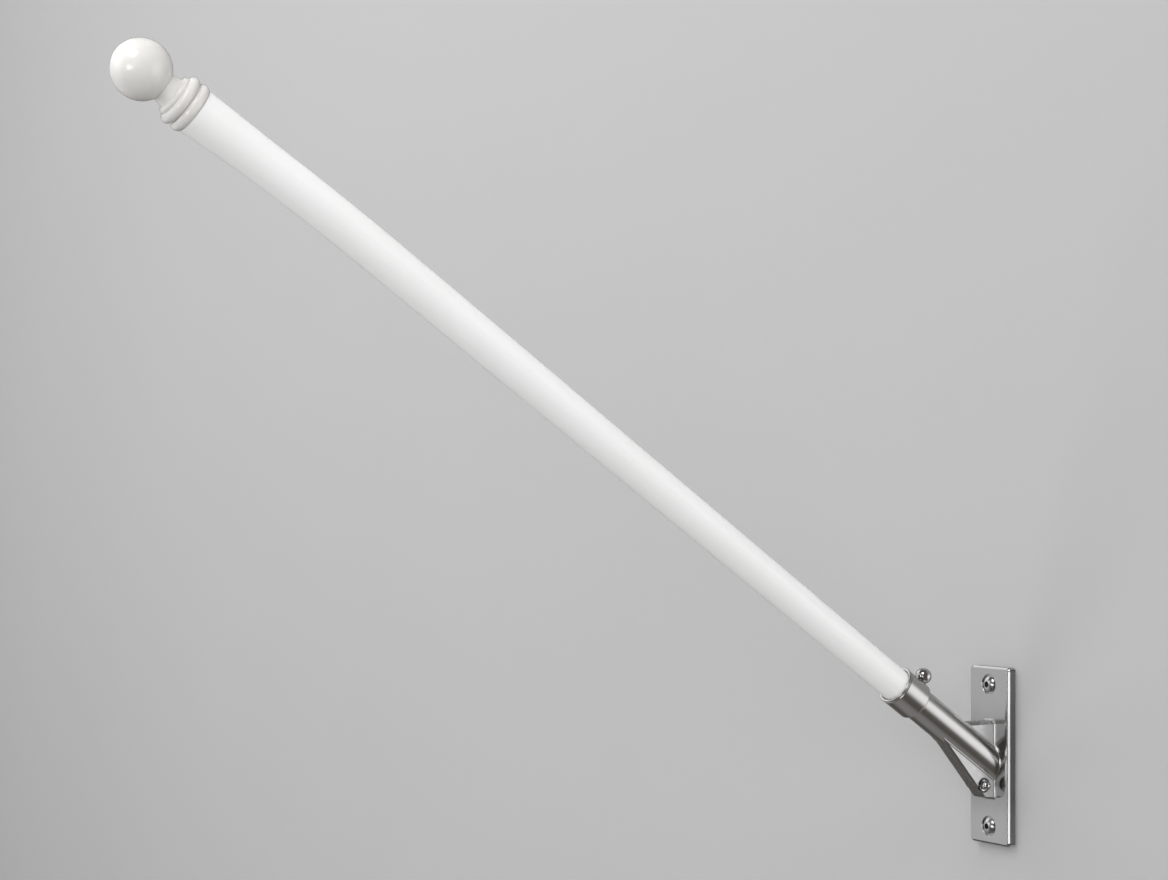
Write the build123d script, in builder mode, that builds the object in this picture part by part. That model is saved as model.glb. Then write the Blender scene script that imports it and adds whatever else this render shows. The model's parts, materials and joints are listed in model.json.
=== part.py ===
from build123d import *
import math
import os

# A house flagpole: a white turned timber pole with a ball finial, held by a thumb screw in the
# slanted socket of a brushed steel wall bracket.
# Millimetres. +Z is up and the wall is the plane Y = 0. The origin is the centre of the wall
# plate's back face, and the pole leans out towards -Y.

# Wall plate
plate_height = 152.0
plate_width = 49.0
plate_thickness = 8.0
plate_corner_radius = 3.0
plate_bevel = 1.6
plate_step = 0.5
border_width = 2.4
border_depth = 0.35
border_corner_radius = 0.8

# Wall screws
screw_spacing = 121.5
screw_shank_diameter = 5.0
screw_head_diameter = 13.6
screw_head_height = 4.4
screw_head_edge = 1.2
screw_hex_size = 4.6
screw_hex_depth = 2.4
recess_diameter = 16.5
recess_depth = 1.6
recess_rim_bevel = 0.5
screw_clearance = 0.15

# Slanted socket: a tube welded to the plate, and a collar round its upper end
socket_rise_angle = 34.8
socket_height = -6.5
tube_diameter = 28.0
tube_wall = 1.5
tube_length = 110.0
tube_weld_radius = 1.6
collar_length = 26.8
collar_overlap = 11.8
collar_diameter = 33.4
collar_shoulder_radius = 1.6
collar_fit = 0.05
lip_diameter = 33.8
lip_root_diameter = 32.4
lip_height = 2.2
lip_groove_width = 0.6
mouth_bevel = 0.8

# Web between the tube and the plate
web_thickness = 15.0
web_top = 30.0
web_bottom = -36.0
web_toe_width = 10.0
web_toe_radius = 8.0
web_front_angle = 49.5
web_top_chamfer = 2.8
web_edge_bevel = 1.2
web_weld_radius = 2.4
seam_weld_radius = 0.9

# Cross bolt through the web's toe
bolt_diameter = 6.0
bolt_from_plate = 11.9
bolt_height = -24.2
bolt_recess_diameter = 12.8
bolt_recess_depth = 1.6
bolt_washer_thickness = 1.0
bolt_washer_diameter = 11.6
bolt_washer_bevel = 0.4
nut_flange_diameter = 9.8
nut_flange_height = 1.8
nut_dome_diameter = 7.6
nut_height = 7.0
nut_crown = 3.6
bolt_clearance = 0.1

# Thumb screw
thumb_screw_diameter = 6.0
thumb_screw_setback = 22.1
thumb_ball_diameter = 13.6
thumb_seat_diameter = 10.4
thumb_seat_depth = 1.5
thumb_ball_gap = 0.3
thumb_screw_fit = 0.05
tip_gap = 0.3

# Pole
shank_diameter = 24.6
shank_plate_gap = 17.0
shank_chamfer = 1.5
pole_length = 753.8
pole_foot_diameter = 27.8
pole_waist_diameter = 30.8
pole_tip_diameter = 34.8
pole_waist_length = 500.0
flare_length = 105.0
flare_power = 3
bow_length = 175.0
bow_drop = 6.6
tip_lean = 1.5
pole_sections = 16
mouth_clearance = 0.5
joint_gap = 0.3

# Finial
ball_diameter = 42.5
neck_diameter = 21.4
lower_bead_diameter = 37.8
lower_bead_height = 8.2
groove_diameter = 32.2
upper_bead_diameter = 38.2
upper_bead_height = 7.6
ring_seat_diameter = 29.6
ring_diameter = 30.0
ring_height = 3.4
cove_diameter = 24.4
neck_height = 26.4
neck_base_inset = 0.8

# How far from a named height an edge may lie and still be picked by it
pick_slack = 0.01

os.makedirs("parts", exist_ok=True)

rise = math.radians(socket_rise_angle)
socket_axis = Vector(0, -math.cos(rise), math.sin(rise))
socket_up = Vector(0, math.sin(rise), math.cos(rise))
socket_foot = Vector(0, -plate_thickness, socket_height)
socket_line = Axis(socket_foot, socket_axis)
plate_front = Plane(origin=(0, -plate_thickness, 0), x_dir=(1, 0, 0), z_dir=(0, -1, 0))
tube_radius = tube_diameter / 2
bore_radius = tube_radius - tube_wall
collar_foot = tube_length - collar_overlap


def along_socket(distance, drop=0.0, lean=0.0):
    """The plane across the socket's axis at a distance up from the plate, dropped and leaned."""
    origin = socket_foot + socket_axis * distance - socket_up * drop
    return Plane(origin=origin, x_dir=(1, 0, 0), z_dir=socket_axis.rotate(Axis.X, lean))


def profile_plane(distance, drop=0.0, lean=0.0):
    """The plane through the axis for turned profiles: X is the radius and Y runs up the axis."""
    across = along_socket(distance, drop, lean)
    return Plane(origin=across.origin, x_dir=(1, 0, 0), z_dir=-across.y_dir)


def edges_at(shape, axis, height):
    """The shape's edges whose middles lie at a height on an axis."""
    return shape.edges().filter_by_position(axis, height - pick_slack, height + pick_slack)


def save(block, name):
    """Labels a finished piece and writes it."""
    block.part.label = name
    export_step(block.part, f"parts/{name}.step")


# Wall plate: a bevelled base, and on it a raised face with a shallow sloping border
rim_level = plate_thickness - border_depth - plate_step
raised_width = plate_width - 2 * plate_bevel
raised_height = plate_height - 2 * plate_bevel
with BuildPart() as wall_plate:
    with BuildSketch(Plane.XZ):
        RectangleRounded(plate_width, plate_height, plate_corner_radius)
    extrude(amount=rim_level)
    chamfer(wall_plate.faces().sort_by(Axis.Y)[0].edges(), plate_bevel)
    with BuildSketch(Plane.XZ.offset(rim_level)) as raised_outline:
        RectangleRounded(raised_width, raised_height, plate_corner_radius - plate_bevel)
    extrude(amount=plate_step)
    with BuildSketch(Plane.XZ.offset(rim_level + plate_step)):
        add(raised_outline.sketch_local)
    with BuildSketch(Plane.XZ.offset(plate_thickness)):
        RectangleRounded(
            raised_width - 2 * border_width, raised_height - 2 * border_width, border_corner_radius
        )
    loft()
    with Locations(*[plate_front * Location((0, side * screw_spacing / 2, 0)) for side in (-1, 1)]):
        CounterBoreHole(
            radius=screw_shank_diameter / 2 + screw_clearance,
            counter_bore_radius=recess_diameter / 2,
            counter_bore_depth=recess_depth,
            depth=plate_thickness,
        )
    front_circles = edges_at(wall_plate, Axis.Y, -plate_thickness).filter_by(GeomType.CIRCLE)
    chamfer(front_circles.group_by(SortBy.RADIUS)[-1], recess_rim_bevel)
save(wall_plate, "wall_plate")

# Wall screws with domed heads and a hexagon socket
shank_run = plate_thickness - recess_depth
dome_rise = screw_head_height - screw_head_edge
dome_radius = ((screw_head_diameter / 2) ** 2 + dome_rise**2) / (2 * dome_rise)
for name, side in (("wall_screw_upper", 1), ("wall_screw_lower", -1)):
    seat = Plane(
        origin=(0, -shank_run, side * screw_spacing / 2), x_dir=(1, 0, 0), z_dir=(0, 0, 1)
    )
    crown = Plane(origin=seat.origin - (0, screw_head_height, 0), x_dir=(1, 0, 0), z_dir=(0, -1, 0))
    with BuildPart() as wall_screw:
        with BuildSketch(seat):
            with BuildLine():
                rim = Polyline(
                    (0, shank_run),
                    (screw_shank_diameter / 2, shank_run),
                    (screw_shank_diameter / 2, 0),
                    (screw_head_diameter / 2, 0),
                    (screw_head_diameter / 2, -screw_head_edge),
                )
                dome = RadiusArc(rim @ 1, (0, -screw_head_height), dome_radius)
                Line(dome @ 1, rim @ 0)
            make_face()
        revolve(axis=Axis(seat.origin, (0, 1, 0)))
        with BuildSketch(crown):
            RegularPolygon(screw_hex_size / 2, 6, major_radius=False)
        extrude(amount=-screw_hex_depth, mode=Mode.SUBTRACT)
    save(wall_screw, name)

# The socket tube's outside, mitred to the plate and flared by its weld
with BuildPart() as tube_outside:
    with BuildSketch(along_socket(-tube_diameter)):
        Circle(tube_radius)
    extrude(amount=tube_diameter + tube_length)
    split(bisect_by=plate_front, keep=Keep.TOP)
    with BuildSketch(plate_front):
        Rectangle(plate_height, plate_height)
    extrude(amount=-plate_thickness)
    mitre = edges_at(tube_outside, Axis.Y, -plate_thickness).sort_by(SortBy.LENGTH)[0]
    fillet(mitre, tube_weld_radius)
    split(bisect_by=plate_front, keep=Keep.TOP)

# Socket tube, bored through and cross drilled for the thumb screw
screw_station = collar_foot + collar_length - thumb_screw_setback
thumb_origin = socket_foot + socket_axis * screw_station
thumb_plane = Plane(origin=thumb_origin, x_dir=(1, 0, 0), z_dir=socket_up)
with BuildPart() as socket_tube:
    add(tube_outside.part)
    with BuildSketch(along_socket(-tube_diameter)):
        Circle(bore_radius)
    extrude(amount=2 * tube_diameter + tube_length, mode=Mode.SUBTRACT)
    with BuildSketch(thumb_plane):
        Circle(thumb_screw_diameter / 2 + thumb_screw_fit)
    extrude(amount=tube_diameter, mode=Mode.SUBTRACT)
save(socket_tube, "socket_tube")

# Socket collar: a rolled lip and a bevelled mouth round the pole's foot, and a flat for the screw
collar_radius = collar_diameter / 2
collar_bore = tube_radius + collar_fit
cup_radius = pole_foot_diameter / 2 + mouth_clearance
thumb_seat_height = collar_radius - thumb_seat_depth
with BuildPart() as socket_collar:
    with BuildSketch(profile_plane(collar_foot)):
        with BuildLine():
            lower = Polyline(
                (cup_radius, collar_overlap),
                (collar_bore, collar_overlap),
                (collar_bore, 0),
                (collar_radius - collar_shoulder_radius, 0),
            )
            shoulder = RadiusArc(
                lower @ 1, (collar_radius, collar_shoulder_radius), -collar_shoulder_radius
            )
            body = Polyline(
                shoulder @ 1,
                (collar_radius, collar_length - lip_height - lip_groove_width),
                (lip_root_diameter / 2, collar_length - lip_height),
            )
            lip = ThreePointArc(
                body @ 1,
                (lip_diameter / 2, collar_length - lip_height / 2),
                (lip_root_diameter / 2, collar_length),
            )
            Polyline(
                lip @ 1,
                (cup_radius + mouth_bevel, collar_length),
                (cup_radius, collar_length - mouth_bevel),
                lower @ 0,
            )
        make_face()
    revolve(axis=socket_line)
    with BuildSketch(thumb_plane.offset(thumb_seat_height)):
        Circle(thumb_seat_diameter / 2)
    extrude(amount=thumb_ball_diameter, mode=Mode.SUBTRACT)
    with BuildSketch(thumb_plane):
        Circle(thumb_screw_diameter / 2 + thumb_screw_fit)
    extrude(amount=tube_diameter, mode=Mode.SUBTRACT)
save(socket_collar, "socket_collar")

# Thumb screw: a shank that bears on the pole and a polished ball that just clears its flat
thumb_ball_radius = thumb_ball_diameter / 2
ball_height = thumb_seat_height + thumb_ball_gap + thumb_ball_radius
tip_height = shank_diameter / 2 + tip_gap
with BuildPart() as thumb_screw_shank:
    with BuildSketch(thumb_plane.offset(tip_height)):
        Circle(thumb_screw_diameter / 2)
    extrude(amount=ball_height - tip_height)
save(thumb_screw_shank, "thumb_screw_shank")

ball_plane = Plane(
    origin=thumb_plane.offset(ball_height).origin, x_dir=socket_up, z_dir=(1, 0, 0)
)
with BuildPart() as thumb_screw_ball:
    with BuildSketch(ball_plane):
        with BuildLine():
            outline = ThreePointArc(
                (thumb_ball_radius, 0), (0, thumb_ball_radius), (-thumb_ball_radius, 0)
            )
            Line(outline @ 1, outline @ 0)
        make_face()
    revolve(axis=Axis(thumb_origin, socket_up))
    with BuildSketch(thumb_plane):
        Circle(thumb_screw_diameter / 2)
    extrude(amount=ball_height, mode=Mode.SUBTRACT)
save(thumb_screw_ball, "thumb_screw_ball")

# Web: a thick bevelled plate with welded seams, cut by the tube into an upper and a lower piece
toe_front = -plate_thickness - web_toe_width
front_run = (web_top - web_bottom) / math.tan(math.radians(web_front_angle))
bolt_y = -plate_thickness - bolt_from_plate
seam_height = math.sqrt(tube_radius**2 - (web_thickness / 2) ** 2)


def web_outline():
    """The web seen from the side, in a sketch on the plane X = 0."""
    with BuildSketch(Plane.YZ) as side_view:
        with BuildLine():
            Polyline(
                (-plate_thickness, web_bottom),
                (toe_front, web_bottom),
                (toe_front - front_run, web_top),
                (-plate_thickness, web_top),
                close=True,
            )
        make_face()
        toe = side_view.vertices().group_by(Axis.Y)[0].sort_by(Axis.X)[0]
        fillet(toe, web_toe_radius)
    return side_view.sketch


with BuildPart() as seam_welds:
    with BuildSketch(along_socket(-plate_height)):
        with Locations(*[(x * web_thickness / 2, y * seam_height) for x in (-1, 1) for y in (-1, 1)]):
            Circle(seam_weld_radius)
    extrude(amount=2 * plate_height)
    extrude(web_outline(), amount=web_thickness, both=True, mode=Mode.INTERSECT)

with BuildPart() as web_whole:
    extrude(web_outline(), amount=web_thickness / 2, both=True)
    top_edges = edges_at(web_whole.faces().filter_by(Axis.X), Axis.Z, web_top)
    chamfer(top_edges, web_top_chamfer)
    side_edges = web_whole.faces().filter_by(Axis.X).edges()
    front_edges = side_edges.filter_by_position(Axis.Z, web_bottom, 0)
    chamfer(front_edges.filter_by_position(Axis.Y, -plate_height, toe_front / 2), web_edge_bevel)
    with BuildSketch(plate_front):
        Rectangle(plate_height, plate_height)
    extrude(amount=-plate_thickness)
    heel = edges_at(web_whole, Axis.Y, -plate_thickness)
    fillet(heel.filter_by_position(Axis.X, -web_thickness, web_thickness), web_weld_radius)
    split(bisect_by=plate_front, keep=Keep.TOP)
    add(seam_welds.part)
    add(tube_outside.part, mode=Mode.SUBTRACT)
    for face_side in (-1, 1):
        face = Plane(
            origin=(face_side * web_thickness / 2, bolt_y, bolt_height),
            x_dir=(0, 1, 0),
            z_dir=(face_side, 0, 0),
        )
        with Locations(face):
            CounterBoreHole(
                radius=bolt_diameter / 2 + bolt_clearance,
                counter_bore_radius=bolt_recess_diameter / 2,
                counter_bore_depth=bolt_recess_depth,
                depth=web_thickness / 2,
            )

for name, solid in zip(("web_lower", "web_upper"), web_whole.solids().sort_by(Axis.Z)):
    with BuildPart() as web:
        add(solid)
    save(web, name)

# Cross bolt, with a washer and a domed nut or head in the recess on each face
recess_floor = web_thickness / 2 - bolt_recess_depth
with BuildPart() as cross_bolt:
    with BuildSketch(Plane(origin=(0, bolt_y, bolt_height), x_dir=(0, 1, 0), z_dir=(1, 0, 0))):
        Circle(bolt_diameter / 2)
    extrude(amount=recess_floor + bolt_washer_thickness, both=True)
save(cross_bolt, "cross_bolt")

for side_name, side in (("near", 1), ("far", -1)):
    floor = Plane(
        origin=(side * recess_floor, bolt_y, bolt_height), x_dir=(0, 1, 0), z_dir=(side, 0, 0)
    )
    with BuildPart() as washer:
        with BuildSketch(floor):
            Circle(bolt_washer_diameter / 2)
            Circle(bolt_diameter / 2 + bolt_clearance, mode=Mode.SUBTRACT)
        extrude(amount=bolt_washer_thickness)
        washer_top = washer.faces().sort_by(Axis.X)[-1 if side > 0 else 0]
        chamfer(washer_top.outer_wire().edges(), bolt_washer_bevel)
    save(washer, f"bolt_washer_{side_name}")

    with BuildPart() as cap:
        with BuildSketch(floor.offset(bolt_washer_thickness)):
            Circle(nut_flange_diameter / 2)
        extrude(amount=nut_flange_height)
        with BuildSketch(floor.offset(bolt_washer_thickness)):
            Circle(nut_dome_diameter / 2)
        extrude(amount=nut_height)
        fillet(cap.faces().sort_by(Axis.X)[-1 if side > 0 else 0].edges(), nut_crown)
    save(cap, f"bolt_cap_{side_name}")

# Pole: a turned shank in the socket, then a slow taper outward, a flared tip and a slight bow
foot_station = tube_length + joint_gap


def pole_radius(station):
    """The pole's radius a distance up from its shoulder: a straight taper and a flared tip."""
    taper = min(station / pole_waist_length, 1)
    flare = max(0, 1 - (pole_length - station) / flare_length)
    straight = pole_foot_diameter + (pole_waist_diameter - pole_foot_diameter) * taper
    return (straight + (pole_tip_diameter - pole_waist_diameter) * flare**flare_power) / 2


def bow_share(station):
    """How far along the bowed end a station lies, from 0 at its start to 1 at the tip."""
    return max(0, 1 - (pole_length - station) / bow_length)


with BuildPart() as pole_shaft:
    for step in range(pole_sections + 1):
        station = pole_length * step / pole_sections
        bow = bow_share(station)
        with BuildSketch(along_socket(foot_station + station, bow_drop * bow**2, tip_lean * bow)):
            Circle(pole_radius(station))
    loft()
save(pole_shaft, "pole_shaft")

with BuildPart() as pole_shank:
    with BuildSketch(along_socket(foot_station)):
        Circle(shank_diameter / 2)
    extrude(amount=shank_plate_gap - foot_station)
    chamfer(pole_shank.faces().sort_by(socket_line)[0].edges(), shank_chamfer)
save(pole_shank, "pole_shank")

# Finial: a beaded neck and a ball, on the pole's end face
tip_plane = profile_plane(foot_station + pole_length, bow_drop, tip_lean)
tip_axis = Axis(tip_plane.origin, tip_plane.y_dir)
ball_radius = ball_diameter / 2
ball_centre = neck_height + math.sqrt(ball_radius**2 - (neck_diameter / 2) ** 2)
beads_top = lower_bead_height + upper_bead_height
with BuildPart() as finial_neck:
    with BuildSketch(tip_plane):
        with BuildLine():
            base = Line((0, 0), (pole_tip_diameter / 2 - neck_base_inset, 0))
            lower_bead = ThreePointArc(
                base @ 1,
                (lower_bead_diameter / 2, lower_bead_height / 2),
                (groove_diameter / 2, lower_bead_height),
            )
            upper_bead = ThreePointArc(
                lower_bead @ 1,
                (upper_bead_diameter / 2, lower_bead_height + upper_bead_height / 2),
                (ring_seat_diameter / 2, beads_top),
            )
            ring = ThreePointArc(
                upper_bead @ 1,
                (ring_diameter / 2, beads_top + ring_height / 2),
                (cove_diameter / 2, beads_top + ring_height),
            )
            cove = TangentArc((neck_diameter / 2, neck_height), ring @ 1, tangent=(0, -1))
            Polyline(cove @ 0, (0, neck_height), base @ 0)
        make_face()
    revolve(axis=tip_axis)
save(finial_neck, "finial_neck")

with BuildPart() as finial_ball:
    with BuildSketch(tip_plane):
        with BuildLine():
            outline = ThreePointArc(
                (neck_diameter / 2, neck_height),
                (ball_radius, ball_centre),
                (0, ball_centre + ball_radius),
            )
            Polyline(outline @ 1, (0, neck_height), outline @ 0)
        make_face()
    revolve(axis=tip_axis)
save(finial_ball, "finial_ball")
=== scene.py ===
import json
import math
from collections import namedtuple

import bpy
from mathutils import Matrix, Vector


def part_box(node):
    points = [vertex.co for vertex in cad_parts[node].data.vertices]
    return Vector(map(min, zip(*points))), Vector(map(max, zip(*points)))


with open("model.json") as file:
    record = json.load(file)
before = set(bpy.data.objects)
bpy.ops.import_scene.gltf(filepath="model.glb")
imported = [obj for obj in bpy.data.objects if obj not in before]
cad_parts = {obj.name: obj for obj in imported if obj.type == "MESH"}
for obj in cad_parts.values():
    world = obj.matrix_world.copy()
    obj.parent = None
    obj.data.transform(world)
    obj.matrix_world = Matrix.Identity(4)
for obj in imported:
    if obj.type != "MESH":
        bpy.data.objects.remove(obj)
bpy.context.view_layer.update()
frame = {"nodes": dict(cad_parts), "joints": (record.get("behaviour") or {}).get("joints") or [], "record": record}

# The photograph's frame, and where the horizon lies in it, in pixels
PHOTO_WIDTH = 1168
PHOTO_HEIGHT = 880
HORIZON_ROW = 521.4

# The camera: level, and to the right for someone who faces the wall. Its focal length is chosen
# among several that fit nearly alike. Its place then follows from where the plate's corners, the
# pole and the round parts lie in the photograph
CAMERA_PLACE = (1.3724, -1.2244, 0.2005)
CAMERA_HEADING = math.radians(59.354)
FOCAL_PIXELS = 2100.0
SENSOR_WIDTH = 36.0
NEAR_CLIP = 0.01
FAR_CLIP = 60.0

# The studio's wall and floor, in metres. The floor reaches as far behind the wall as before it
WALL_GAP = 0.0004
WALL_LEFT = -9.0
WALL_RIGHT = 4.0
WALL_TOP = 5.0
HOLE_MARGIN = 0.004
FLOOR_HEIGHT = -1.1
FLOOR_RIGHT = 9.0
FLOOR_REACH = 7.0

# How pale the studio's paint is, how far its mottle darkens it, and how wide the mottle is
WALL_TONE = 0.385
FLOOR_TONE = 0.45
MOTTLE_TONE = 0.985
MOTTLE_SCALE = 1.3

# The level of the bare backdrop, and the share of it that the camera sees in the floor
BACKDROP_LEVEL = 0.62
FLOOR_GLOW = 0.8

# The even light on matt surfaces, from below and from above, and the Z parts of a direction
# between which one turns into the other
FILL_BELOW = 0.44
FILL_ABOVE = 0.66
FILL_TURN = (-0.6, 0.8)

# The dark surroundings that the gloss sees, towards the room and towards the wall, and the Y parts
# of a direction between which one turns into the other
GLOSS_FRONT = 0.10
GLOSS_WALL = 0.34
GLOSS_TURN = (0.15, 0.75)

# The warm tint of those surroundings where they are darkest, and the brightness at which it ends
WARM_DARK = (1.0, 0.92, 0.82, 1.0)
WARM_UP_TO = 3.0 * GLOSS_FRONT

# The soft boxes that the gloss sees: the direction each lies in, its half width and half the width
# of its soft edge in degrees, and its strength
SoftBox = namedtuple("SoftBox", "aim size edge strength")
SOFT_BOXES = {
    "broad_left": SoftBox((-0.80, -0.60, -0.05), 38.0, 20.0, 0.50),
    "right_behind": SoftBox((0.75, 0.65, -0.10), 19.0, 12.0, 0.98),
    "high_right": SoftBox((0.40, -0.58, 0.71), 12.0, 4.0, 4.2),
    "small_front": SoftBox((0.42, -0.91, -0.05), 7.0, 3.0, 5.0),
    "small_right": SoftBox((0.60, -0.79, -0.10), 7.0, 4.0, 2.0),
    "high_left": SoftBox((-0.77, -0.22, 0.60), 16.0, 8.0, 1.0),
    "low_behind": SoftBox((0.25, 0.73, -0.63), 8.0, 5.0, 0.6),
    "front_left": SoftBox((-0.28, -0.92, 0.26), 15.0, 9.0, 0.8),
    "overhead": SoftBox((-0.50, 0.30, 0.83), 18.0, 14.0, 0.20),
    "below": SoftBox((0.00, 0.00, -1.00), 22.0, 14.0, 0.17),
}

# The lamps for matt surfaces: places and sizes in metres, power in watts
Lamp = namedtuple("Lamp", "place aim width height power")
LAMPS = {
    "overhead": Lamp((-0.7, -2.2, 2.8), (-0.4, -0.3, 0.1), 2.6, 1.8, 78.0),
    "front_fill": Lamp((3.4, -3.6, 1.4), (0.0, -0.4, 0.25), 2.4, 2.0, 75.0),
    "far_fill": Lamp((-3.4, -2.8, 1.4), (-3.6, 0.0, 0.2), 2.4, 1.6, 38.0),
    "low_fill": Lamp((-1.2, -3.0, 0.1), (0.0, -0.7, 0.5), 1.0, 1.0, 16.0),
    "side_key": Lamp((3.6, -0.4, 2.7), (0.0, -0.4, 0.25), 1.4, 1.2, 70.0),
}

# The tilt that lays a texture's Y axis along the socket's axis
slide = next(joint for joint in frame["joints"] if joint["name"] == "pole_slide")
SOCKET_TILT = (math.asin(slide["axis"][2]), 0.0, 0.0)
NO_TILT = (0.0, 0.0, 0.0)

# Pieces with a finish of their own within their slot, by the start of their names
OWN_FINISHES = {"web_": "satin_web", "wall_screw_": "wall_screws", "bolt_washer_": "shaded_washers"}

# Most of a noise texture's values lie between these two
NOISE_SPAN = (0.3, 0.7)

# Brushed steel: how many lines there are to a metre along X, Y and Z once tilted, how strongly
# and how deeply they seem to be cut, and how wide the edges seem to be rounded, in metres
UPRIGHT_LINES = (2600.0, 2600.0, 45.0)
SOCKET_LINES = (2600.0, 40.0, 2600.0)
LINE_BUMP = 0.05
METAL_BUMP_DEPTH = 0.00004
STEEL_ANISOTROPY = 0.4
EDGE_RADIUS = 0.0005
EDGE_SAMPLES = 12

# Wear on brushed steel: slow patches that are a little darker, and smudges that are a little dull
WEAR_SCALE = 38.0
WEAR_SPAN = (0.35, 0.7)
WEAR_SHARE = 0.08
WEAR_TONE = 0.3
SMUDGE_SCALE = 210.0
SMUDGE_SPAN = (0.45, 0.75)
SMUDGE_ROUGHNESS = 0.02

# Masks on the steel: how squarely a flat side faces along X, where a round spot's soft edge
# starts as a share of its radius, and the radius of each spot, in metres
SIDE_SPAN = (0.8, 0.95)
SPOT_EDGE = 0.97
DRIVE_RADIUS = 0.0026
SCREW_RECESS_RADIUS = 0.0088
BOLT_RECESS_RADIUS = 0.0065

# The plate: the painted shade on its flat side edges, dull recesses, and the heights that a painted dark
# reflection of the web fades between
PLATE_SIDE_SHADE_TONE = 0.07
SCREW_RECESS_ROUGHNESS = 0.14
PAINTED_REFLECTION_SHARE = 0.22
PAINTED_REFLECTION_FADE_ABOVE = (0.052, 0.018)
PAINTED_REFLECTION_FADE_BELOW = (-0.058, -0.030)

# The web: its flat sides, painted paler and hazier as painted light, and the painted shade on the floor of its
# bolt recess
WEB_SIDE_PAINTED_LIGHT_TONE = 0.55
WEB_SIDE_HAZE = 0.65
BOLT_RECESS_SHADE_TONE = 0.16

# Polished steel: slow patches of a middle grey, small smudges, and the painted shade in a screw's drive
POLISH_PATCH_SCALE = 90.0
POLISH_PATCH_SHARE = 0.35
POLISH_PATCH_TONE = 0.5
POLISH_SMUDGE_SCALE = 420.0
POLISH_SMUDGE_SPAN = (0.35, 0.75)
POLISH_SMUDGE_ROUGHNESS = 0.08
POLISH_BUMP = 0.05
DRIVE_SHADE_TONE = 0.06

# Paint on turned timber: a soft ripple, fine brush lines along the pole, and slow tone changes
RIPPLE_SCALE = 95.0
RIPPLE_SHARE = 0.7
RIPPLE_ROUGHNESS = 0.06
BRUSH_LINES = (900.0, 60.0, 900.0)
BRUSH_SHARE = 0.3
PAINT_TONE_SCALE = 9.0
PAINT_BUMP_DEPTH = 0.0002


class Graph:
    """The node tree of one material or world, with short calls for the nodes used here."""

    def __init__(self, owner, output_kind):
        owner.use_nodes = True
        self.tree = owner.node_tree
        self.tree.nodes.clear()
        self.output_kind = output_kind

    def feed(self, socket, value):
        """Links another node's output to a socket, or gives it a fixed value."""
        if isinstance(value, bpy.types.NodeSocket):
            self.tree.links.new(value, socket)
        else:
            socket.default_value = value

    def node(self, kind, inputs=None, **settings):
        made = self.tree.nodes.new(kind)
        for key, value in settings.items():
            setattr(made, key, value)
        for key, value in (inputs or {}).items():
            self.feed(made.inputs[key], value)
        return made

    def math(self, operation, *values):
        return self.node("ShaderNodeMath", dict(enumerate(values)), operation=operation).outputs[0]

    def blend(self, share, first, second):
        """One number where the share is 0, the other where it is 1, and both between."""
        kept = self.math("MULTIPLY", self.math("SUBTRACT", 1.0, share), first)
        return self.math("ADD", kept, self.math("MULTIPLY", share, second))

    def dot(self, first, second):
        made = self.node("ShaderNodeVectorMath", {0: first, 1: second}, operation="DOT_PRODUCT")
        return made.outputs["Value"]

    def distance(self, first, second):
        """The length of a step with these two parts."""
        squares = [self.math("POWER", part, 2.0) for part in (first, second)]
        return self.math("SQRT", self.math("ADD", *squares))

    def remap(self, value, span, new_span=(0.0, 1.0), smooth=False):
        """Carries one span of values over to another, and holds the ends beyond it."""
        made = self.node(
            "ShaderNodeMapRange",
            dict(enumerate((value, *span, *new_span))),
            interpolation_type="SMOOTHSTEP" if smooth else "LINEAR",
        )
        return made.outputs[0]

    def mix_colour(self, share, first, second):
        """A mix of two colours, which the node takes in its inputs 6 and 7."""
        made = self.node("ShaderNodeMix", {0: share, 6: first, 7: second}, data_type="RGBA")
        return made.outputs[2]

    def mix_shader(self, share, first, second):
        return self.node("ShaderNodeMixShader", {0: share, 1: first, 2: second}).outputs[0]

    def place(self):
        """Where a point of the object lies in the part's own frame, in metres."""
        return self.node("ShaderNodeTexCoord").outputs["Object"]

    def parts(self, vector):
        return self.node("ShaderNodeSeparateXYZ", {0: vector}).outputs

    def noise(self, place, scale, detail=3.0, rough=0.55):
        made = self.node(
            "ShaderNodeTexNoise",
            {"Vector": place, "Scale": scale, "Detail": detail, "Roughness": rough},
        )
        return made.outputs[0]

    def stretched(self, place, tilt, lines):
        """The place tilted, then scaled by three numbers: few along the brushing, many across."""
        tilted = self.node("ShaderNodeMapping", {"Vector": place, "Rotation": tilt}).outputs[0]
        return self.node("ShaderNodeMapping", {"Vector": tilted, "Scale": lines}).outputs[0]

    def soft_edges(self, radius):
        return self.node("ShaderNodeBevel", {"Radius": radius}, samples=EDGE_SAMPLES).outputs[0]

    def bump(self, height, strength, depth, normal=None):
        inputs = {"Height": height, "Strength": strength, "Distance": depth}
        if normal is not None:
            inputs["Normal"] = normal
        return self.node("ShaderNodeBump", inputs).outputs[0]

    def principled(self, inputs):
        return self.node("ShaderNodeBsdfPrincipled", inputs).outputs[0]

    def finish(self, shader):
        self.node(self.output_kind, {"Surface": shader})


def grey(value):
    return (value, value, value, 1.0)


def new_material(name):
    made = bpy.data.materials.new(name)
    return made, Graph(made, "ShaderNodeOutputMaterial")


def spot(graph, distance, radius):
    """One within a radius and nothing outside it, with a narrow ramp between."""
    return graph.remap(distance, (radius, SPOT_EDGE * radius))


def near_screw(graph, place, radius):
    """The points within a radius of the axis of a wall screw. The screws mirror each other."""
    low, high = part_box("wall_screw_upper")
    parts = graph.parts(place)
    rise = graph.math("SUBTRACT", graph.math("ABSOLUTE", parts["Z"]), (low.z + high.z) / 2)
    return spot(graph, graph.distance(rise, parts["X"]), radius)


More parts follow.
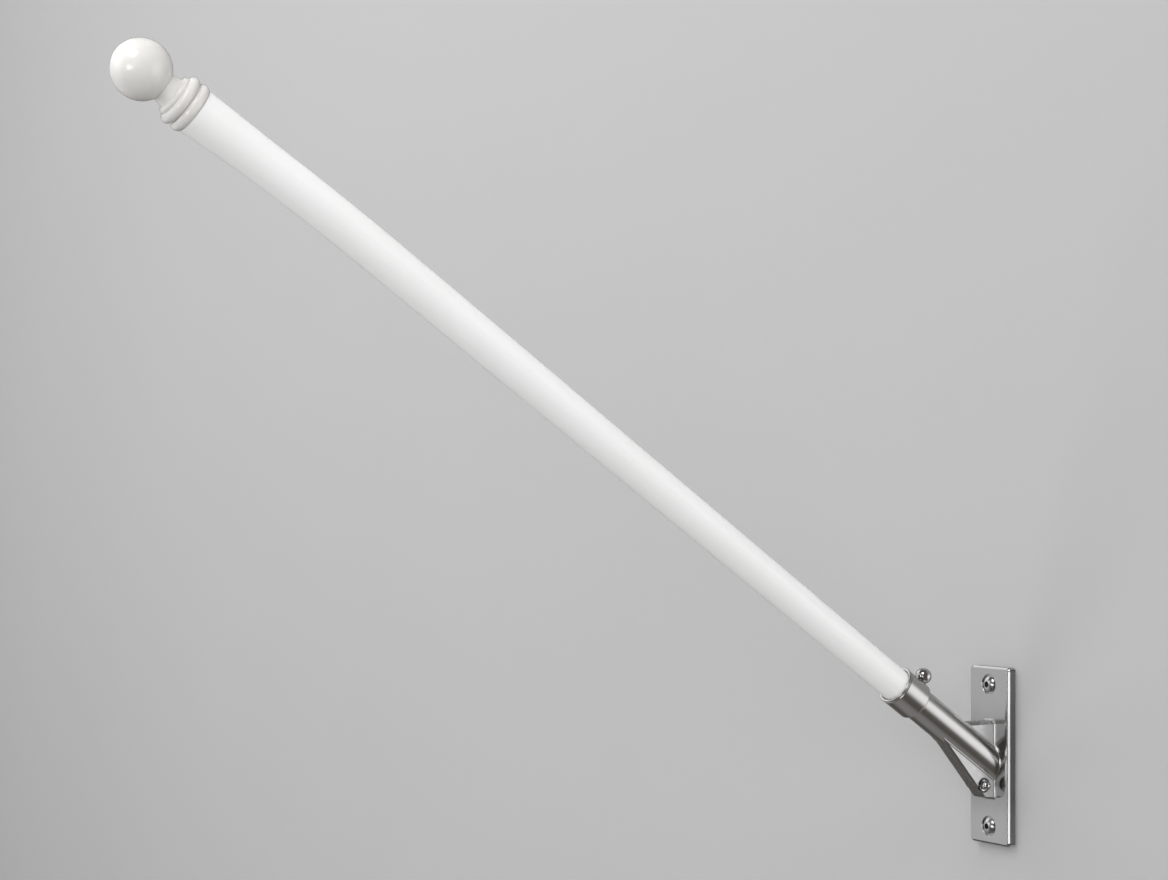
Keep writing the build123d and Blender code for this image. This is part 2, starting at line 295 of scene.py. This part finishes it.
def near_bolt(graph, place, radius):
    """The points within a radius of the cross bolt's axis."""
    low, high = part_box("cross_bolt")
    parts = graph.parts(place)
    out = graph.math("SUBTRACT", parts["Y"], (low.y + high.y) / 2)
    rise = graph.math("SUBTRACT", parts["Z"], (low.z + high.z) / 2)
    return spot(graph, graph.distance(rise, out), radius)


def flat_side(graph):
    """How squarely a surface faces along X, as the flat sides of the web and plate edge do."""
    normal = graph.node("ShaderNodeNewGeometry").outputs["True Normal"]
    sideways = graph.math("ABSOLUTE", graph.dot(normal, (1.0, 0.0, 0.0)))
    return graph.remap(sideways, SIDE_SPAN, smooth=True)


def painted_web_reflection(graph, place):
    """A painted dark reflection of the web: a band of the plate between two heights, strongest where the web
    stands.
    """
    height = graph.parts(place)["Z"]
    above = graph.remap(height, PAINTED_REFLECTION_FADE_ABOVE, smooth=True)
    below = graph.remap(height, PAINTED_REFLECTION_FADE_BELOW, smooth=True)
    return graph.math("MULTIPLY", above, below)


class BrushedSteel:
    """Satin steel with fine lines one way, to which a finish adds layers of its own in turn."""

    def __init__(self, name, tones, roughness, tilt, lines):
        self.material, self.graph = new_material(name)
        self.place = self.graph.place()
        stretched = self.graph.stretched(self.place, tilt, lines)
        self.lines = self.graph.noise(stretched, scale=1.0, detail=4.0, rough=0.6)
        self.tone = self.graph.mix_colour(self.graph.remap(self.lines, NOISE_SPAN), *tones)
        self.metallic = 1.0
        smudges = self.graph.noise(self.place, SMUDGE_SCALE, detail=3.0)
        self.roughness = self.graph.math(
            "ADD",
            self.graph.remap(self.lines, NOISE_SPAN, roughness),
            self.graph.remap(smudges, SMUDGE_SPAN, (0.0, SMUDGE_ROUGHNESS)),
        )

    def shade(self, share, tone):
        """Mixes in a grey, by a share that may differ from point to point."""
        self.tone = self.graph.mix_colour(share, self.tone, grey(tone))

    def wear(self):
        """Mixes in the slow patches that handling leaves."""
        patches = self.graph.noise(self.place, WEAR_SCALE, detail=2.0)
        self.shade(self.graph.remap(patches, WEAR_SPAN, (0.0, WEAR_SHARE)), WEAR_TONE)

    def roughen(self, share, amount):
        added = self.graph.math("MULTIPLY", share, amount)
        self.roughness = self.graph.math("ADD", self.roughness, added)

    def finish(self, edge_radius=None):
        """Joins the layers into the material, whose edges look rounded where a radius is given."""
        normal = self.graph.soft_edges(edge_radius) if edge_radius else None
        shader = self.graph.principled(
            {
                "Base Color": self.tone,
                "Metallic": self.metallic,
                "Roughness": self.roughness,
                "Anisotropic": STEEL_ANISOTROPY,
                "Normal": self.graph.bump(self.lines, LINE_BUMP, METAL_BUMP_DEPTH, normal),
            }
        )
        self.graph.finish(shader)
        return self.material


def plate_steel():
    """Brushed upright, with painted shade on its flat side edges, a painted dark reflection of the web across its
    heights, and duller in the screw recesses.
    """
    tones = (grey(0.585), grey(0.615))
    roughness = (0.13, 0.17)
    steel = BrushedSteel("brushed_plate", tones, roughness, NO_TILT, UPRIGHT_LINES)
    graph = steel.graph
    # Painted shade: the plate's flat sides that face along X are darkened nearly to black
    steel.shade(flat_side(graph), PLATE_SIDE_SHADE_TONE)
    steel.wear()
    # Painted reflection: a band of the plate is darkened, standing in for the web's dark reflection
    steel.shade(graph.math("MULTIPLY", painted_web_reflection(graph, steel.place), PAINTED_REFLECTION_SHARE), 0.0)
    steel.roughen(near_screw(graph, steel.place, SCREW_RECESS_RADIUS), SCREW_RECESS_ROUGHNESS)
    return steel.finish(EDGE_RADIUS)


def bracket_steel():
    """The tube and collar: a little warmer than the plate, brushed along the socket."""
    tones = ((0.600, 0.592, 0.580, 1.0), (0.635, 0.628, 0.618, 1.0))
    roughness = (0.19, 0.25)
    steel = BrushedSteel("brushed_bracket", tones, roughness, SOCKET_TILT, SOCKET_LINES)
    steel.wear()
    return steel.finish(EDGE_RADIUS)


def web_steel():
    """The web: steel whose flat sides are painted paler and less metallic as painted light, with painted shade in
    its bolt recess.
    """
    tones = (grey(0.44), grey(0.50))
    roughness = (0.22, 0.28)
    steel = BrushedSteel("satin_web", tones, roughness, SOCKET_TILT, SOCKET_LINES)
    graph = steel.graph
    on_side = flat_side(graph)
    # Painted light: the flat sides that face along X are made paler and less metallic, so that they look lit
    steel.metallic = graph.remap(on_side, (0.0, 1.0), (1.0, 1.0 - WEB_SIDE_HAZE))
    steel.shade(on_side, WEB_SIDE_PAINTED_LIGHT_TONE)
    # Painted shade: the flat side is darkened within the bolt recess's radius
    in_recess = near_bolt(graph, steel.place, BOLT_RECESS_RADIUS)
    steel.shade(graph.math("MULTIPLY", in_recess, on_side), BOLT_RECESS_SHADE_TONE)
    steel.wear()
    return steel.finish()


def polished_steel(name, tone, roughness, with_drive_shade=False):
    """Bright plated steel with slow patches and small smudges. A screw's drive can get painted shade."""
    made, graph = new_material(name)
    place = graph.place()
    patches = graph.noise(place, POLISH_PATCH_SCALE, detail=2.0)
    smudges = graph.noise(place, POLISH_SMUDGE_SCALE, detail=3.0)
    worn = graph.remap(patches, WEAR_SPAN, (0.0, POLISH_PATCH_SHARE))
    shade = graph.mix_colour(worn, tone, grey(POLISH_PATCH_TONE))
    # Painted shade: a disc round each wall screw's axis, over its drive, is darkened nearly to black
    if with_drive_shade:
        shade = graph.mix_colour(near_screw(graph, place, DRIVE_RADIUS), shade, grey(DRIVE_SHADE_TONE))
    rough_span = (roughness, roughness + POLISH_SMUDGE_ROUGHNESS)
    shader = graph.principled(
        {
            "Base Color": shade,
            "Metallic": 1.0,
            "Roughness": graph.remap(smudges, POLISH_SMUDGE_SPAN, rough_span),
            "Normal": graph.bump(smudges, POLISH_BUMP, METAL_BUMP_DEPTH),
        }
    )
    graph.finish(shader)
    return made


def painted_wood(name, tones, roughness, coat, coat_roughness, grain):
    """Paint brushed over turned timber, under a clear coat."""
    made, graph = new_material(name)
    place = graph.place()
    ripple = graph.noise(place, RIPPLE_SCALE, detail=2.0)
    brushing = graph.noise(graph.stretched(place, SOCKET_TILT, BRUSH_LINES), scale=1.0)
    slow = graph.noise(place, PAINT_TONE_SCALE, detail=2.0)
    height = graph.math(
        "ADD",
        graph.math("MULTIPLY", ripple, RIPPLE_SHARE),
        graph.math("MULTIPLY", brushing, BRUSH_SHARE),
    )
    rough_span = (roughness, roughness + RIPPLE_ROUGHNESS)
    shader = graph.principled(
        {
            "Base Color": graph.mix_colour(graph.remap(slow, NOISE_SPAN), *tones),
            "Roughness": graph.remap(ripple, NOISE_SPAN, rough_span),
            "Coat Weight": coat,
            "Coat Roughness": coat_roughness,
            "Normal": graph.bump(height, grain, PAINT_BUMP_DEPTH),
        }
    )
    graph.finish(shader)
    return made


def make_finishes():
    """The finish of every slot in the record, and those that some pieces have of their own."""
    chrome = (0.66, 0.66, 0.67, 1.0)
    # Painted shade: the bolt washers are darkened, standing in for the shade inside the bolt recess
    shaded_chrome = (0.22, 0.21, 0.20, 1.0)
    white = (grey(0.88), (0.86, 0.86, 0.855, 1.0))
    warm_white = ((0.70, 0.69, 0.67, 1.0), (0.68, 0.665, 0.64, 1.0))
    paint = painted_wood(
        "white_paint", white, roughness=0.36, coat=0.25, coat_roughness=0.18, grain=0.05
    )
    enamel = painted_wood(
        "white_enamel", warm_white, roughness=0.22, coat=1.0, coat_roughness=0.05, grain=0.04
    )
    screws = polished_steel("wall_screws", chrome, roughness=0.20, with_drive_shade=True)
    return {
        "brushed_plate": plate_steel(),
        "brushed_bracket": bracket_steel(),
        "satin_web": web_steel(),
        "polished_fasteners": polished_steel("polished_fasteners", chrome, roughness=0.12),
        "wall_screws": screws,
        "shaded_washers": polished_steel("shaded_washers", shaded_chrome, roughness=0.18),
        "white_paint": paint,
        "white_enamel": enamel,
    }


def dress_nodes(finishes):
    """Gives each piece the finish that its record names, or the one that its name calls for."""
    for subpart in frame["record"]["subparts"]:
        node = subpart["node"]
        slot = subpart["material_slot"]
        for start, own_finish in OWN_FINISHES.items():
            if node.startswith(start):
                slot = own_finish
        mesh = frame["nodes"][node].data
        mesh.materials.clear()
        mesh.materials.append(finishes[slot])


def studio_paint(graph, tone):
    """A matt surface with a faint, wide mottle."""
    mottle = graph.remap(graph.noise(graph.place(), MOTTLE_SCALE, detail=2.0), NOISE_SPAN)
    shade = graph.mix_colour(mottle, grey(tone * MOTTLE_TONE), grey(tone))
    return graph.node("ShaderNodeBsdfDiffuse", {"Color": shade}).outputs[0]


def wall_paint():
    """Paint that is clear from behind, so that views from there still see the part."""
    made, graph = new_material("wall_paint")
    behind = graph.node("ShaderNodeNewGeometry").outputs["Backfacing"]
    clear = graph.node("ShaderNodeBsdfTransparent").outputs[0]
    graph.finish(graph.mix_shader(behind, studio_paint(graph, WALL_TONE), clear))
    return made


def floor_paint():
    """Paint that the camera sees mostly at the backdrop's level, which softens the far edge."""
    made, graph = new_material("floor_paint")
    seen = graph.node("ShaderNodeLightPath").outputs["Is Camera Ray"]
    share = graph.math("MULTIPLY", seen, FLOOR_GLOW)
    backdrop = {"Color": grey(BACKDROP_LEVEL), "Strength": 1.0}
    level = graph.node("ShaderNodeEmission", backdrop).outputs[0]
    graph.finish(graph.mix_shader(share, studio_paint(graph, FLOOR_TONE), level))
    return made


def add_stage_piece(name, corners, faces, paint):
    """Adds a flat piece of the studio, which matt light meets but reflections leave out."""
    mesh = bpy.data.meshes.new(name)
    mesh.from_pydata(corners, [], faces)
    mesh.update()
    mesh.materials.append(paint)
    made = bpy.data.objects.new(name, mesh)
    bpy.context.scene.collection.objects.link(made)
    made.visible_glossy = False
    return made


def make_wall():
    """A wall behind the plate, with a hole that the plate covers, so that its back stays lit."""
    low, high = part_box("wall_plate")
    xs = (WALL_LEFT, low.x + HOLE_MARGIN, high.x - HOLE_MARGIN, WALL_RIGHT)
    zs = (FLOOR_HEIGHT, low.z + HOLE_MARGIN, high.z - HOLE_MARGIN, WALL_TOP)
    corners = [(x, WALL_GAP, z) for z in zs for x in xs]
    across = len(xs)
    hole = (1, 1)
    faces = []
    for row in range(len(zs) - 1):
        for column in range(across - 1):
            if (row, column) != hole:
                start = row * across + column
                faces.append((start, start + 1, start + across + 1, start + across))
    wall = add_stage_piece("studio_wall", corners, faces, wall_paint())


def make_floor():
    corners = [
        (WALL_LEFT, -FLOOR_REACH, FLOOR_HEIGHT),
        (FLOOR_RIGHT, -FLOOR_REACH, FLOOR_HEIGHT),
        (FLOOR_RIGHT, FLOOR_REACH, FLOOR_HEIGHT),
        (WALL_LEFT, FLOOR_REACH, FLOOR_HEIGHT),
    ]
    floor = add_stage_piece("studio_floor", corners, [(0, 1, 2, 3)], floor_paint())


def make_lamps():
    """Matt light only: the gloss takes its highlights from the world's soft boxes."""
    for name, lamp in LAMPS.items():
        light = bpy.data.lights.new(name, "AREA")
        light.shape = "RECTANGLE"
        light.size = lamp.width
        light.size_y = lamp.height
        light.energy = lamp.power
        made = bpy.data.objects.new(name, light)
        bpy.context.scene.collection.objects.link(made)
        made.location = lamp.place
        sight = Vector(lamp.aim) - Vector(lamp.place)
        made.rotation_euler = sight.to_track_quat("-Z", "Y").to_euler()
        made.visible_glossy = False


def soft_box_light(graph, direction, box):
    """The light of one soft box, which is full round its aim and fades over its edge."""
    closeness = graph.dot(direction, tuple(Vector(box.aim).normalized()))
    outer = math.cos(math.radians(box.size + box.edge))
    inner = math.cos(math.radians(box.size - box.edge))
    return graph.remap(closeness, (outer, inner), (0.0, box.strength), smooth=True)


def make_world():
    """Soft light from all round for matt surfaces; gloss sees dark surroundings and soft boxes."""
    world = bpy.data.worlds.new("studio_world")
    bpy.context.scene.world = world
    graph = Graph(world, "ShaderNodeOutputWorld")
    direction = graph.node("ShaderNodeTexCoord").outputs["Generated"]
    parts = graph.parts(direction)

    glossy = graph.remap(parts["Y"], GLOSS_TURN, (GLOSS_FRONT, GLOSS_WALL), smooth=True)
    for box in SOFT_BOXES.values():
        glossy = graph.math("ADD", soft_box_light(graph, direction, box), glossy)

    path = graph.node("ShaderNodeLightPath").outputs
    fill = graph.remap(parts["Z"], FILL_TURN, (FILL_BELOW, FILL_ABOVE))
    matt = graph.blend(path["Is Camera Ray"], fill, BACKDROP_LEVEL)

    shiny = graph.math("MAXIMUM", path["Is Glossy Ray"], path["Is Transmission Ray"])
    strength = graph.blend(shiny, matt, glossy)
    pale = graph.remap(glossy, (GLOSS_FRONT, WARM_UP_TO))
    untinted = graph.math("MAXIMUM", pale, graph.math("SUBTRACT", 1.0, shiny))
    colour = graph.mix_colour(untinted, WARM_DARK, grey(1.0))
    surroundings = graph.node("ShaderNodeBackground", {"Color": colour, "Strength": strength})
    graph.finish(surroundings.outputs[0])


def make_camera():
    """The photograph's camera, level, with the small rise of its lens that the horizon needs."""
    camera = bpy.data.cameras.new("camera")
    camera.sensor_width = SENSOR_WIDTH
    camera.lens = SENSOR_WIDTH * FOCAL_PIXELS / PHOTO_WIDTH
    camera.shift_y = (HORIZON_ROW - PHOTO_HEIGHT / 2) / PHOTO_WIDTH
    camera.dof.use_dof = False
    camera.clip_start = NEAR_CLIP
    camera.clip_end = FAR_CLIP
    made = bpy.data.objects.new("camera", camera)
    bpy.context.scene.collection.objects.link(made)
    made.location = CAMERA_PLACE
    made.rotation_euler = (math.pi / 2, 0.0, CAMERA_HEADING)
    bpy.context.scene.camera = made


make_camera()
make_world()
make_lamps()
make_wall()
make_floor()
dress_nodes(make_finishes())

view_settings = bpy.context.scene.view_settings
view_settings.view_transform = "Standard"
